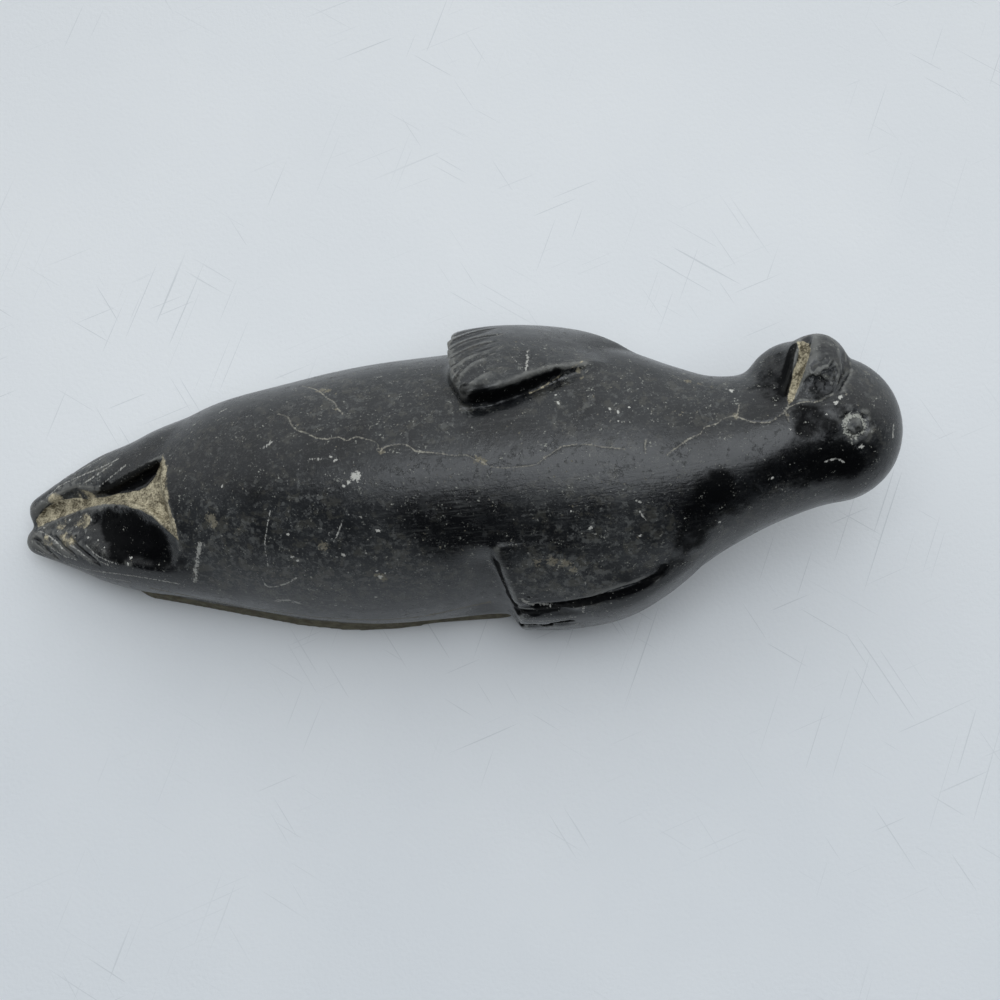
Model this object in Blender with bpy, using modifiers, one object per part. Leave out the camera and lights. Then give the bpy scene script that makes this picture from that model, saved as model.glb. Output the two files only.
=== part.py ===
"""A carved stone seal, one solid piece, lying on its flat belly.

The seal faces +X with its head turned to its left (+Y) and raised off the ground.
It is made as a carver makes it: the rough masses come first, then the gap between
the hind flippers, then the scored lines, and the flat resting face last.
"""

import math
from collections import namedtuple

import bmesh
import bpy
import numpy as np
from mathutils import Matrix, Vector, noise
from mathutils.bvhtree import BVHTree

MM = 0.001

# Fineness of the work: mesh size of the rough masses and of the finished skin, the facet
# count, the points round a ring, and the steps along a loft and along a scored line
ROUGH_GRAIN = 1.1 * MM
FINE_GRAIN = 0.62 * MM
FACETS = 11400
RING_POINTS = 48
STATION_STEP = 2.0 * MM
SCORE_STEP = 0.8 * MM
BLEND_PASSES = 14
EDGE_PASSES = 5

STONE_COLOUR = (0.032, 0.034, 0.040, 1.0)
STONE_ROUGHNESS = 0.34

# The torso from the rump to the neck. Each row is one upright cross-section: where it is
# along the body, the sideways shift of its middle, the height of its widest line, its half
# width, and the heights of its back and its underside.
Section = namedtuple("Section", "x y waist half_width back under")
TORSO = [
    Section(-0.1120, 0.0038, 0.0100, 0.0100, 0.0190, 0.0030),
    Section(-0.0980, 0.0030, 0.0100, 0.0170, 0.0310, 0.0010),
    Section(-0.0850, 0.0033, 0.0110, 0.0237, 0.0410, -0.0020),
    Section(-0.0700, 0.0043, 0.0120, 0.0293, 0.0490, -0.0030),
    Section(-0.0500, 0.0034, 0.0120, 0.0335, 0.0570, -0.0040),
    Section(-0.0300, 0.0034, 0.0120, 0.0365, 0.0610, -0.0040),
    Section(-0.0100, 0.0038, 0.0130, 0.0375, 0.0630, -0.0040),
    Section(0.0100, 0.0035, 0.0160, 0.0378, 0.0645, -0.0030),
    Section(0.0300, 0.0025, 0.0210, 0.0380, 0.0655, -0.0020),
    Section(0.0450, 0.0012, 0.0270, 0.0358, 0.0660, 0.0020),
    Section(0.0600, -0.0002, 0.0330, 0.0288, 0.0660, 0.0080),
    Section(0.0700, 0.0000, 0.0380, 0.0238, 0.0660, 0.0140),
    Section(0.0820, 0.0020, 0.0430, 0.0210, 0.0670, 0.0210),
    Section(0.0940, 0.0042, 0.0460, 0.0200, 0.0675, 0.0260),
    Section(0.1050, 0.0046, 0.0478, 0.0184, 0.0665, 0.0296),
    Section(0.1130, 0.0046, 0.0480, 0.0140, 0.0615, 0.0345),
    Section(0.1180, 0.0046, 0.0480, 0.0070, 0.0550, 0.0410),
]
TORSO_SQUARENESS = 2.15

# The head: a round skull, a lower jaw and a snout that points up and to the seal's left
SKULL_CENTRE = Vector((0.1003, 0.0049, 0.0480))
SKULL_RADII = Vector((0.0192, 0.0201, 0.0200))
JAW_CENTRE = Vector((0.0915, 0.0152, 0.0510))
JAW_RADII = Vector((0.0145, 0.0146, 0.0130))
SNOUT_CENTRE = Vector((0.0950, 0.0172, 0.0575))
SNOUT_RADII = Vector((0.0102, 0.0125, 0.0100))
SNOUT_TURN = math.radians(12)
SNOUT_LIFT = math.radians(28)

# The hind flippers: two lobes side by side. Each row is a place on the lobe's middle line,
# its half width and its half height.
LobeSection = namedtuple("LobeSection", "x y z half_width half_height")
RIGHT_HIND = [
    LobeSection(-0.0660, -0.0110, 0.0180, 0.0150, 0.0220),
    LobeSection(-0.0850, -0.0092, 0.0175, 0.0122, 0.0190),
    LobeSection(-0.0950, -0.0078, 0.0155, 0.0112, 0.0160),
    LobeSection(-0.1050, -0.0056, 0.0130, 0.0098, 0.0125),
    LobeSection(-0.1150, -0.0030, 0.0110, 0.0072, 0.0090),
    LobeSection(-0.1220, -0.0016, 0.0098, 0.0054, 0.0062),
    LobeSection(-0.1292, -0.0010, 0.0090, 0.0030, 0.0032),
]
LEFT_HIND = [
    LobeSection(-0.0660, 0.0180, 0.0180, 0.0150, 0.0220),
    LobeSection(-0.0850, 0.0152, 0.0175, 0.0124, 0.0190),
    LobeSection(-0.0950, 0.0134, 0.0155, 0.0108, 0.0160),
    LobeSection(-0.1050, 0.0124, 0.0130, 0.0096, 0.0128),
    LobeSection(-0.1150, 0.0104, 0.0115, 0.0070, 0.0095),
    LobeSection(-0.1215, 0.0088, 0.0108, 0.0052, 0.0068),
    LobeSection(-0.1277, 0.0074, 0.0104, 0.0032, 0.0036),
]

# A front flipper lies along the flank with its tip towards the tail. Each row is a place
# along the body, the angles of the flipper's upper and lower edges round the section from
# the middle of the back, and how proud those two edges stand.
FlipperSection = namedtuple("FlipperSection", "x upper lower upper_lift lower_lift")
LEFT_FLIPPER = [
    FlipperSection(0.0450, 46, 58, -0.0030, -0.0036),
    FlipperSection(0.0340, 36, 68, 0.0012, 0.0014),
    FlipperSection(0.0190, 27, 78, 0.0048, 0.0050),
    FlipperSection(0.0080, 20, 84, 0.0062, 0.0068),
    FlipperSection(-0.0032, 17, 86, 0.0064, 0.0064),
]
RIGHT_FLIPPER = [
    FlipperSection(0.0640, -52, -76, -0.0030, -0.0030),
    FlipperSection(0.0520, -46, -88, -0.0015, 0.0012),
    FlipperSection(0.0350, -41, -98, -0.0008, 0.0038),
    FlipperSection(0.0200, -39, -104, 0.0004, 0.0046),
    FlipperSection(0.0060, -39, -106, 0.0014, 0.0046),
]
FLIPPER_ROOT_DEPTH = 0.008

# A flipper's tip: its outline, as shares of the way from the upper edge to the lower one and
# how far back it lies there, and how far its end wall leans towards the tail
Tip = namedtuple("Tip", "outline lean")
LEFT_TIP = Tip([(0, 0.0044), (0.12, 0.0018), (0.36, 0.0), (0.60, 0.0016), (0.80, 0.0058), (1, 0.0130)], 0.0)
RIGHT_TIP = Tip([(0, 0.0), (0.14, 0.0016), (0.42, 0.0056), (0.60, 0.0062), (0.85, 0.0066), (1, 0.0090)], 0.5)

# The digits scored on a flipper: the angle of each groove at the tip and at its inner end,
# and how far it runs. The right flipper also has one long groove down its face.
Digit = namedtuple("Digit", "tip_angle inner_angle length")
LEFT_DIGITS = [
    Digit(20.5, 30, 0.011),
    Digit(26, 37, 0.011),
    Digit(31, 43, 0.013),
    Digit(36.5, 49, 0.015),
    Digit(43, 57, 0.016),
    Digit(51, 66, 0.016),
    Digit(63, 76, 0.014),
]
RIGHT_DIGITS = [
    Digit(-75, -73, 0.020),
    Digit(-86, -82, 0.019),
    Digit(-97, -91, 0.014),
]
DIGIT_HALF_WIDTH = 0.0013
DIGIT_DEPTH = 0.0010
DIGIT_OVERRUN = 0.0010
FACE_GROOVE = [(0.0115, -69), (0.0220, -69.5), (0.0340, -68), (0.0450, -66), (0.0535, -59)]
FACE_GROOVE_HALF_WIDTH = 0.0017
FACE_GROOVE_DEPTH = 0.0017

# The channel cut along the upper edge of the left flipper, and the hollow behind the right one
CHANNEL = [(0.0010, 18), (0.0060, 18), (0.0120, 21.5), (0.0200, 26), (0.0330, 34)]
CHANNEL_HALF_WIDTH = 0.0044
CHANNEL_DEPTH = 0.0026
HOLLOW = [(0.0060, -38), (0.0050, -55), (0.0040, -70), (0.0030, -85), (0.0020, -104)]
HOLLOW_HALF_WIDTH = 0.0110
HOLLOW_DEPTH = 0.0028

# The rough foot left under the belly: its outline on the ground, its height and its batter
FOOT = [
    (-0.1120, 0.0040),
    (-0.1080, -0.0100),
    (-0.0958, -0.0190),
    (-0.0812, -0.0229),
    (-0.0665, -0.0270),
    (-0.0520, -0.0312),
    (-0.0373, -0.0338),
    (-0.0226, -0.0343),
    (-0.0107, -0.0332),
    (0.0086, -0.0335),
    (0.0250, -0.0300),
    (0.0370, -0.0150),
    (0.0400, 0.0040),
    (0.0300, 0.0220),
    (0.0000, 0.0310),
    (-0.0400, 0.0330),
    (-0.0750, 0.0240),
    (-0.1000, 0.0160),
]
FOOT_HEIGHT = 0.0065
FOOT_BATTER = 0.0020

# The hollow between the hind flippers, seen from above, and its depth at two places
CLEFT = [
    (-0.0828, 0.0136),
    (-0.0838, 0.0054),
    (-0.0819, -0.0006),
    (-0.0804, -0.0096),
    (-0.0829, -0.0047),
    (-0.0882, 0.0007),
    (-0.0966, 0.0046),
    (-0.1063, 0.0056),
    (-0.1184, 0.0046),
    (-0.1250, 0.0044),
    (-0.1232, 0.0070),
    (-0.1171, 0.0098),
    (-0.1115, 0.0112),
    (-0.1068, 0.0090),
    (-0.1004, 0.0086),
    (-0.0865, 0.0120),
]
CLEFT_DEPTHS = ((-0.1080, 0.0028), (-0.0860, 0.0058))
CLEFT_WALL = 0.0013

# The dished face of the right hind flipper
DISH = [
    (-0.0812, -0.0074),
    (-0.0853, -0.0027),
    (-0.0915, 0.0009),
    (-0.1001, 0.0030),
    (-0.1052, 0.0028),
    (-0.1070, -0.0010),
    (-0.1050, -0.0067),
    (-0.0995, -0.0112),
    (-0.0904, -0.0148),
    (-0.0824, -0.0165),
    (-0.0798, -0.0123),
]
DISH_DEPTHS = ((-0.1000, 0.0014), (-0.0850, 0.0026))
DISH_WALL = 0.0030

# Lines scored on the toes of the right hind flipper
TOE_HALF_WIDTH = 0.0013
TOE_DEPTH = 0.0009
TOES = [
    [(-0.1262, -0.0004), (-0.1220, -0.0045), (-0.1186, -0.0080)],
    [(-0.1205, -0.0005), (-0.1160, -0.0045), (-0.1122, -0.0088)],
    [(-0.1155, -0.0012), (-0.1110, -0.0060), (-0.1045, -0.0122)],
]

# Lines cut on the face: the mouth, the crease behind the muzzle, the edge under the muzzle,
# three chips on the muzzle and a short slit on the cheek
MOUTH_HALF_WIDTH = 0.0022
MOUTH_DEPTH = 0.0019
CREASE_HALF_WIDTH = 0.0018
CREASE_DEPTH = 0.0011
MUZZLE_EDGE_HALF_WIDTH = 0.0016
MUZZLE_EDGE_DEPTH = 0.0008
CHIP_HALF_WIDTH = 0.0014
CHIP_DEPTH = 0.0008
SLIT_HALF_WIDTH = 0.0013
SLIT_DEPTH = 0.0009
MOUTH = [
    (0.0940, 0.0280, 0.0600),
    (0.0933, 0.0262, 0.0640),
    (0.0918, 0.0225, 0.0666),
    (0.0899, 0.0175, 0.0656),
    (0.0873, 0.0124, 0.0651),
    (0.0852, 0.0080, 0.0663),
]
CREASE = [
    (0.1018, 0.0225, 0.0610),
    (0.1026, 0.0200, 0.0652),
    (0.1030, 0.0172, 0.0650),
    (0.1006, 0.0135, 0.0660),
    (0.0985, 0.0105, 0.0667),
    (0.0978, 0.0080, 0.0672),
]
MUZZLE_EDGE = [(0.0857, 0.0082), (0.0889, 0.0083), (0.0928, 0.0082), (0.0974, 0.0094)]
CHIPS = [
    [(0.0920, 0.0170), (0.0955, 0.0185), (0.0985, 0.0188)],
    [(0.0910, 0.0142), (0.0948, 0.0135), (0.0985, 0.0147)],
    [(0.0922, 0.0108), (0.0950, 0.0118), (0.0985, 0.0114)],
]
SLIT = [(0.0925, -0.0078), (0.0960, -0.0066), (0.0995, -0.0078)]
EYE = Vector((0.1023, 0.0012))
EYE_RADIUS = 0.0030
EYE_GROOVE_HALF_WIDTH = 0.0013
EYE_GROOVE_DEPTH = 0.0016

# Soft hollows and swellings: centre seen from above, radius, and depth (negative stands proud)
Dent = namedtuple("Dent", "x y radius depth")
DENTS = [
    Dent(0.0948, 0.0150, 0.0075, -0.0010),
    Dent(0.0908, 0.0030, 0.0045, 0.0009),
    Dent(0.1036, -0.0045, 0.0018, 0.0005),
]

# The uneven surface left by hand work: size of the waves and their height
WAVE_SIZE = 0.024
WAVE_HEIGHT = 0.00035


def smooth_rows(rows, step=STATION_STEP, axes=1):
    """Rows of numbers read from a smooth curve, spaced by the distance over the first axes."""
    rows = np.array(rows, float)
    padded = np.vstack([2 * rows[0] - rows[1], rows, 2 * rows[-1] - rows[-2]])
    made = []
    for i in range(len(rows) - 1):
        before, start, end, after = padded[i : i + 4]
        count = max(1, round(np.linalg.norm((end - start)[:axes]) / step))
        for k in range(count):
            t = k / count
            bend = (2 * before - 5 * start + 4 * end - after) * t**2
            twist = (3 * start - before - 3 * end + after) * t**3
            made.append(0.5 * (2 * start + (end - before) * t + bend + twist))
    made.append(rows[-1])
    return np.array(made)


def as_object(name, mesh):
    """An object in the scene made from a bmesh, which is freed."""
    data = bpy.data.meshes.new(name)
    mesh.to_mesh(data)
    mesh.free()
    made = bpy.data.objects.new(name, data)
    bpy.context.scene.collection.objects.link(made)
    return made


def loft(name, rings):
    """A closed mesh through rings of equally many points, with a flat cap at each end."""
    mesh = bmesh.new()
    loops = [[mesh.verts.new(point) for point in ring] for ring in rings]
    count = len(loops[0])
    for near, far in zip(loops, loops[1:]):
        for i in range(count):
            j = (i + 1) % count
            mesh.faces.new((near[i], near[j], far[j], far[i]))
    mesh.faces.new(list(reversed(loops[0])))
    mesh.faces.new(loops[-1])
    bmesh.ops.recalc_face_normals(mesh, faces=mesh.faces)
    return as_object(name, mesh)


def section_point(row, angle, lift=0.0):
    """A point of one torso section, at an angle round it from the middle of the back."""
    x, y, waist, half_width, back, under = row
    power = 2 / TORSO_SQUARENESS
    across, up = math.sin(angle), math.cos(angle)
    height = back - waist if up > 0 else waist - under
    across_share = math.copysign(abs(across) ** power, across)
    up_share = math.copysign(abs(up) ** power, up)
    flat = Vector((0, half_width * across_share, height * up_share))
    return Vector((x, y, waist)) + flat * (1 + lift / flat.length)


def torso_at(x):
    """The torso's section at a place along the body."""
    rows = smooth_rows(TORSO)
    return [x] + [float(np.interp(x, rows[:, 0], rows[:, k])) for k in range(1, rows.shape[1])]


def torso():
    """The body from the rump to the neck, a loft of upright sections that are flatter below."""
    angles = [2 * math.pi * i / RING_POINTS for i in range(RING_POINTS)]
    return loft("torso", [[section_point(row, a) for a in angles] for row in smooth_rows(TORSO)])


def hind_flipper(name, sections):
    """One hind flipper, a loft of upright oval sections along its own middle line."""
    angles = [2 * math.pi * i / RING_POINTS for i in range(RING_POINTS)]
    rings = []
    for x, y, z, half_width, half_height in smooth_rows(sections):
        rings.append([(x, y + half_width * math.cos(a), z + half_height * math.sin(a)) for a in angles])
    return loft(name, rings)


def set_back(tip, across):
    """How far the outline of a flipper's tip lies behind its furthest point."""
    return float(np.interp(across, *zip(*tip.outline)))


def flipper_point(row, across, sunk, tip):
    """A point of a front flipper, from its upper edge (0) to its lower edge (1)."""
    x, upper, lower, upper_lift, lower_lift = row
    share = across * across * (3 - 2 * across)
    lift = upper_lift + (lower_lift - upper_lift) * min(1.0, 1.6 * share)
    angle = math.radians(upper + (lower - upper) * across)
    return section_point(torso_at(x + set_back(tip, across) - tip.lean * sunk), angle, lift - sunk)


def front_flipper(name, sections, tip):
    """A front flipper, a plate that follows the flank and is rooted inside the body."""
    count = RING_POINTS // 2
    rings = []
    for row in smooth_rows(sections):
        shares = [i / (count - 1) for i in range(count)]
        outer = [flipper_point(row, share, 0.0, tip) for share in shares]
        inner = [flipper_point(row, share, FLIPPER_ROOT_DEPTH, tip) for share in reversed(shares)]
        rings.append(outer + inner)
    return loft(name, rings)


def egg(name, centre, radii, turn=0.0, lift=0.0):
    """An ellipsoid whose Y axis is turned about Z and lifted off the ground."""
    mesh = bmesh.new()
    bmesh.ops.create_uvsphere(mesh, u_segments=RING_POINTS, v_segments=RING_POINTS // 2, radius=1.0)
    place = (
        Matrix.Translation(centre)
        @ Matrix.Rotation(-turn, 4, "Z")
        @ Matrix.Rotation(lift, 4, "X")
        @ Matrix.Diagonal(radii).to_4x4()
    )
    bmesh.ops.transform(mesh, matrix=place, verts=mesh.verts)
    return as_object(name, mesh)


def foot():
    """The rough stone left under the belly, wider at the ground than where it meets the flank."""
    rings = []
    middle = Vector((sum(x for x, _ in FOOT) / len(FOOT), sum(y for _, y in FOOT) / len(FOOT)))
    for height, inset in ((-FOOT_HEIGHT / 2, 0.0), (FOOT_HEIGHT / 2, FOOT_BATTER / 2), (FOOT_HEIGHT, FOOT_BATTER)):
        ring = []
        for point in FOOT:
            out = Vector(point) - middle
            flat = middle + out * (1 - inset / out.length)
            ring.append((flat.x, flat.y, height))
        rings.append(ring)
    return loft("foot", rings)


def bake(thing):
    """Applies an object's modifiers."""
    graph = bpy.context.evaluated_depsgraph_get()
    graph.update()
    data = bpy.data.meshes.new_from_object(thing.evaluated_get(graph))
    thing.modifiers.clear()
    thing.data = data
    return thing


def fuse(name, pieces, grain, passes):
    """One skin around overlapping masses, with its inner corners softened by smoothing passes."""
    joined = bmesh.new()
    for piece in pieces:
        joined.from_mesh(piece.data)
        bpy.data.objects.remove(piece)
    whole = as_object(name, joined)
    skin = whole.modifiers.new("one skin", "REMESH")
    skin.mode = "VOXEL"
    skin.voxel_size = grain
    soften = whole.modifiers.new("soften", "SMOOTH")
    soften.factor = 0.5
    soften.iterations = passes
    return bake(whole)


def points_of(thing):
    """The object's vertices and their normals, as two arrays."""
    mesh = thing.data
    places = np.empty(len(mesh.vertices) * 3, np.float32)
    normals = np.empty(len(mesh.vertices) * 3, np.float32)
    mesh.vertices.foreach_get("co", places)
    mesh.vertex_normals.foreach_get("vector", normals)
    return places.reshape(-1, 3).astype(float), normals.reshape(-1, 3).astype(float)


def move_points(thing, places):
    thing.data.vertices.foreach_set("co", places.astype(np.float32).ravel())
    thing.data.update()


def ease(share):
    """0 to 1 with a soft start and end."""
    share = np.clip(share, 0, 1)
    return share * share * (3 - 2 * share)


def depth_inside(places, outline):
    """How far each point is inside an outline seen from above, negative outside."""
    nearest = np.full(len(places), 1e9)
    inside = np.zeros(len(places), bool)
    x, y = places[:, 0], places[:, 1]
    for (ax, ay), (bx, by) in zip(outline, outline[1:] + outline[:1]):
        dx, dy = bx - ax, by - ay
        along = np.clip(((x - ax) * dx + (y - ay) * dy) / (dx * dx + dy * dy), 0, 1)
        nearest = np.minimum(nearest, np.hypot(x - ax - along * dx, y - ay - along * dy))
        crosses = (ay > y) != (by > y)
        inside ^= crosses & (x < ax + (y - ay) * dx / (dy if dy else 1e-12))
    return np.where(inside, nearest, -nearest)


def sink(thing, outline, depths, wall):
    """Lowers the top of the stone inside an outline; the depth changes along the body."""
    places, normals = points_of(thing)
    depth = np.interp(places[:, 0], *zip(*depths))
    share = ease(depth_inside(places, outline) / wall + 0.3)
    facing_up = ease((normals[:, 2] + 0.05) / 0.3)
    places[:, 2] -= depth * share * facing_up
    move_points(thing, places)


def dent(thing, hollow):
    """Presses in, or raises, a soft round patch of the upper surface."""
    places, normals = points_of(thing)
    away = np.hypot(places[:, 0] - hollow.x, places[:, 1] - hollow.y) / hollow.radius
    share = ease(1 - away) * (normals[:, 2] > 0)
    move_points(thing, places - normals * (hollow.depth * share)[:, None])


def work_by_hand(thing):
    """Gives the smooth masses the slight unevenness of stone shaped by hand."""
    places, normals = points_of(thing)
    heights = [noise.noise(Vector(place) / WAVE_SIZE) for place in places]
    move_points(thing, places + normals * (WAVE_HEIGHT * np.array(heights))[:, None])


def on_flank(x, degrees):
    """A point on the torso's surface, by place along the body and angle from the back."""
    return section_point(torso_at(x), math.radians(degrees))


def score(thing, path, half_width, depth, open_start=False):
    """Cuts a line along a path laid on the surface; it fades at both ends unless open."""
    tree = BVHTree.FromObject(thing, bpy.context.evaluated_depsgraph_get())
    laid, facing = [], []
    for point in smooth_rows(path, SCORE_STEP, len(path[0])):
        if len(point) == 2:
            hit, normal, _, _ = tree.ray_cast(Vector((point[0], point[1], 1.0)), Vector((0, 0, -1)))
        else:
            hit, normal, _, _ = tree.find_nearest(Vector(point))
        if hit:
            laid.append(hit)
            facing.append(normal)
    laid, facing = np.array(laid), np.array(facing)
    places, _ = points_of(thing)
    nearest = np.full(len(places), 1e9)
    push = np.zeros((len(places), 3))
    for i in range(len(laid) - 1):
        start, run = laid[i], laid[i + 1] - laid[i]
        reach = half_width + np.linalg.norm(run)
        close = np.nonzero(np.abs(places - start).max(1) < reach)[0]
        along = np.clip(((places[close] - start) @ run) / max(run @ run, 1e-12), 0, 1)
        gap = np.linalg.norm(places[close] - start - along[:, None] * run, axis=1)
        nearer = gap < nearest[close]
        way = (i + along[nearer]) / (len(laid) - 1)
        fade = ease((1 - way) * 3) * (1 if open_start else ease(way * 5))
        chosen = close[nearer]
        nearest[chosen] = gap[nearer]
        push[chosen] = facing[i] * fade[:, None]
    strength = ease(1 - nearest / half_width)
    move_points(thing, places - push * (depth * strength)[:, None])


def score_digits(thing, sections, digits, tip):
    """Scores the digits of a front flipper from its tip inwards."""
    end = sections[-1]
    for digit in digits:
        across = (digit.tip_angle - end.upper) / (end.lower - end.upper)
        start = end.x + set_back(tip, across) - DIGIT_OVERRUN
        path = []
        for way in (0.0, 0.33, 0.67, 1.0):
            degrees = digit.tip_angle + (digit.inner_angle - digit.tip_angle) * way
            lift = end.upper_lift + (end.lower_lift - end.upper_lift) * across
            row = torso_at(start + digit.length * way)
            path.append(section_point(row, math.radians(degrees), lift * (1 - way / 2)))
        score(thing, path, DIGIT_HALF_WIDTH, DIGIT_DEPTH, open_start=True)


def score_eye(thing):
    """A ring cut round the eye."""
    ring = []
    for i in range(25):
        turn = 2 * math.pi * i / 24
        ring.append((EYE.x + EYE_RADIUS * math.cos(turn), EYE.y + EYE_RADIUS * math.sin(turn)))
    for half in (ring[:14], ring[11:], ring[20:] + ring[1:5]):
        score(thing, half, EYE_GROOVE_HALF_WIDTH, EYE_GROOVE_DEPTH / 2)


def rest_flat(thing):
    """Cuts the belly flat at ground level and closes the cut."""
    mesh = bmesh.new()
    mesh.from_mesh(thing.data)
    everything = mesh.verts[:] + mesh.edges[:] + mesh.faces[:]
    cut = bmesh.ops.bisect_plane(mesh, geom=everything, plane_co=(0, 0, 0), plane_no=(0, 0, 1), clear_inner=True)
    rim = [e for e in cut["geom_cut"] if isinstance(e, bmesh.types.BMEdge)]
    bmesh.ops.holes_fill(mesh, edges=rim)
    bmesh.ops.triangulate(mesh, faces=[f for f in mesh.faces if len(f.verts) > 4])
    mesh.to_mesh(thing.data)
    mesh.free()


def thin_out(thing, facets):
    """Leaves about the given number of triangles, most of them where the stone is carved."""
    fewer = thing.modifiers.new("fewer facets", "DECIMATE")
    fewer.ratio = facets / (2 * len(thing.data.polygons))
    fewer.use_collapse_triangulate = True
    return bake(thing)


def centre(thing):
    """Puts the middle of the footprint at the origin and returns where it was."""
    places, _ = points_of(thing)
    middle = (places.min(0) + places.max(0)) / 2
    middle[2] = 0.0
    move_points(thing, places - middle)
    return middle


def polished_stone(name):
    made = bpy.data.materials.new(name)
    made.use_nodes = True
    made.diffuse_color = STONE_COLOUR
    shader = made.node_tree.nodes["Principled BSDF"]
    shader.inputs["Base Color"].default_value = STONE_COLOUR
    shader.inputs["Roughness"].default_value = STONE_ROUGHNESS
    shader.inputs["Metallic"].default_value = 0.0
    return made


def seal():
    masses = [
        torso(),
        egg("skull", SKULL_CENTRE, SKULL_RADII),
        egg("jaw", JAW_CENTRE, JAW_RADII),
        egg("snout", SNOUT_CENTRE, SNOUT_RADII, SNOUT_TURN, SNOUT_LIFT),
        hind_flipper("right_hind", RIGHT_HIND),
        hind_flipper("left_hind", LEFT_HIND),
    ]
    body = fuse("body", masses, ROUGH_GRAIN, BLEND_PASSES)
    score(body, [on_flank(*place) for place in CHANNEL], CHANNEL_HALF_WIDTH, CHANNEL_DEPTH)
    score(body, [on_flank(*place) for place in HOLLOW], HOLLOW_HALF_WIDTH, HOLLOW_DEPTH)
    limbs = [
        body,
        front_flipper("left_flipper", LEFT_FLIPPER, LEFT_TIP),
        front_flipper("right_flipper", RIGHT_FLIPPER, RIGHT_TIP),
        foot(),
    ]
    stone = fuse("stone", limbs, FINE_GRAIN, EDGE_PASSES)
    sink(stone, DISH, DISH_DEPTHS, DISH_WALL)
    sink(stone, CLEFT, CLEFT_DEPTHS, CLEFT_WALL)
    for hollow in DENTS:
        dent(stone, hollow)
    stone = fuse("seal", [stone], FINE_GRAIN, 2)
    work_by_hand(stone)
    score_digits(stone, LEFT_FLIPPER, LEFT_DIGITS, LEFT_TIP)
    score_digits(stone, RIGHT_FLIPPER, RIGHT_DIGITS, RIGHT_TIP)
    face_line = [on_flank(*place) for place in FACE_GROOVE]
    score(stone, face_line, FACE_GROOVE_HALF_WIDTH, FACE_GROOVE_DEPTH, open_start=True)
    for toe in TOES:
        score(stone, toe, TOE_HALF_WIDTH, TOE_DEPTH)
    score(stone, MOUTH, MOUTH_HALF_WIDTH, MOUTH_DEPTH)
    score(stone, CREASE, CREASE_HALF_WIDTH, CREASE_DEPTH)
    score(stone, MUZZLE_EDGE, MUZZLE_EDGE_HALF_WIDTH, MUZZLE_EDGE_DEPTH)
    for chip in CHIPS:
        score(stone, chip, CHIP_HALF_WIDTH, CHIP_DEPTH)
    score(stone, SLIT, SLIT_HALF_WIDTH, SLIT_DEPTH)
    score_eye(stone)
    thin_out(stone, FACETS)
    rest_flat(stone)
    stone.data.materials.append(polished_stone("black_stone"))
    stone.data.shade_smooth()
    return stone


for old in list(bpy.data.objects):
    bpy.data.objects.remove(old)
group = bpy.data.collections.new("seal_figurine")
bpy.context.scene.collection.children.link(group)
figure = seal()
footprint_middle = centre(figure)
bpy.context.scene.collection.objects.unlink(figure)
group.objects.link(figure)
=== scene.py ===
# %% [markdown]
# # A carved stone seal
#
# The object is one piece of black soapstone, carved into a seal that lies on its belly with
# its head turned and raised. It has no moving parts, so everything that matters is in the
# skin: a hand polish that has worn away in places, cuts that have filled with pale dust, a
# few light veins, and the olive-brown foot that it stands on. Shade in the hollows, a few
# highlights and reflections, and some lightening of the far flank are painted into the
# skin's colour as well.
#
# The measured solid comes from the packed model. This file turns it into a finely meshed
# skin, sharpens the carving on it, gives it a stone finish, and lights it on a pale table.
#
# The first cell loads the solid and notes how large it is, as the finished seal has to be
# no larger.

# %% Load the packed model
import math

import bmesh
import bpy
import numpy as np
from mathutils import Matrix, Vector, noise
from mathutils.bvhtree import BVHTree


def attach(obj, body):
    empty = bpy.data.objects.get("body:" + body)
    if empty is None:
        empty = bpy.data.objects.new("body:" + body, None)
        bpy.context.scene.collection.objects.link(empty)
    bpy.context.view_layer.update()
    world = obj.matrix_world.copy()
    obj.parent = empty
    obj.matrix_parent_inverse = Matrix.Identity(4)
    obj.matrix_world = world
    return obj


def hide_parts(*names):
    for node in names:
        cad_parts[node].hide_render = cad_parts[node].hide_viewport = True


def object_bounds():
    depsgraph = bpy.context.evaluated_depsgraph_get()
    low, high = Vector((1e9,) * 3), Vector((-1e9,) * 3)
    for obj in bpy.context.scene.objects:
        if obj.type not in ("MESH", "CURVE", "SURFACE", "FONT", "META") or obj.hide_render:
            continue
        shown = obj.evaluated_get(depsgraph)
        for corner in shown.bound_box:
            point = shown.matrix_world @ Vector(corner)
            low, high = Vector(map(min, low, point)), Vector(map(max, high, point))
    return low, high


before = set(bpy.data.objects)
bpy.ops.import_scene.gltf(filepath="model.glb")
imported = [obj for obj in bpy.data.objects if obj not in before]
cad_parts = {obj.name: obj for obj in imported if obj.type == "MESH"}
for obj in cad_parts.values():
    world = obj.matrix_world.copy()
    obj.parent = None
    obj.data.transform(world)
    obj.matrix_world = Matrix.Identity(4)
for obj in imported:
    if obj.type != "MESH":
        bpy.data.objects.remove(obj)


def corners(box):
    """A box as plain lists of numbers."""
    return [[float(number) for number in corner] for corner in box]


MM = 0.001
size_at_start = corners(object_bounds())
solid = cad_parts["seal"]
print("solid:", len(solid.data.polygons), "facets, from", size_at_start[0], "to", size_at_start[1])

# %% [markdown]
# ## The camera
#
# The camera comes first, because the marks on the stone are placed by where they lie in the
# picture. It stands at arm's length, almost straight above the back and leaning a little
# towards the seal's right side, which is why the whole back shows and little of the flanks.
#
# A camera can be aimed with a Track To constraint, but the later cells need its exact place
# and turn at once, so both are worked out here. The focal length is kept in pixels, and one
# pixel at this distance is a little under 0.3 mm of stone.

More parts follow.
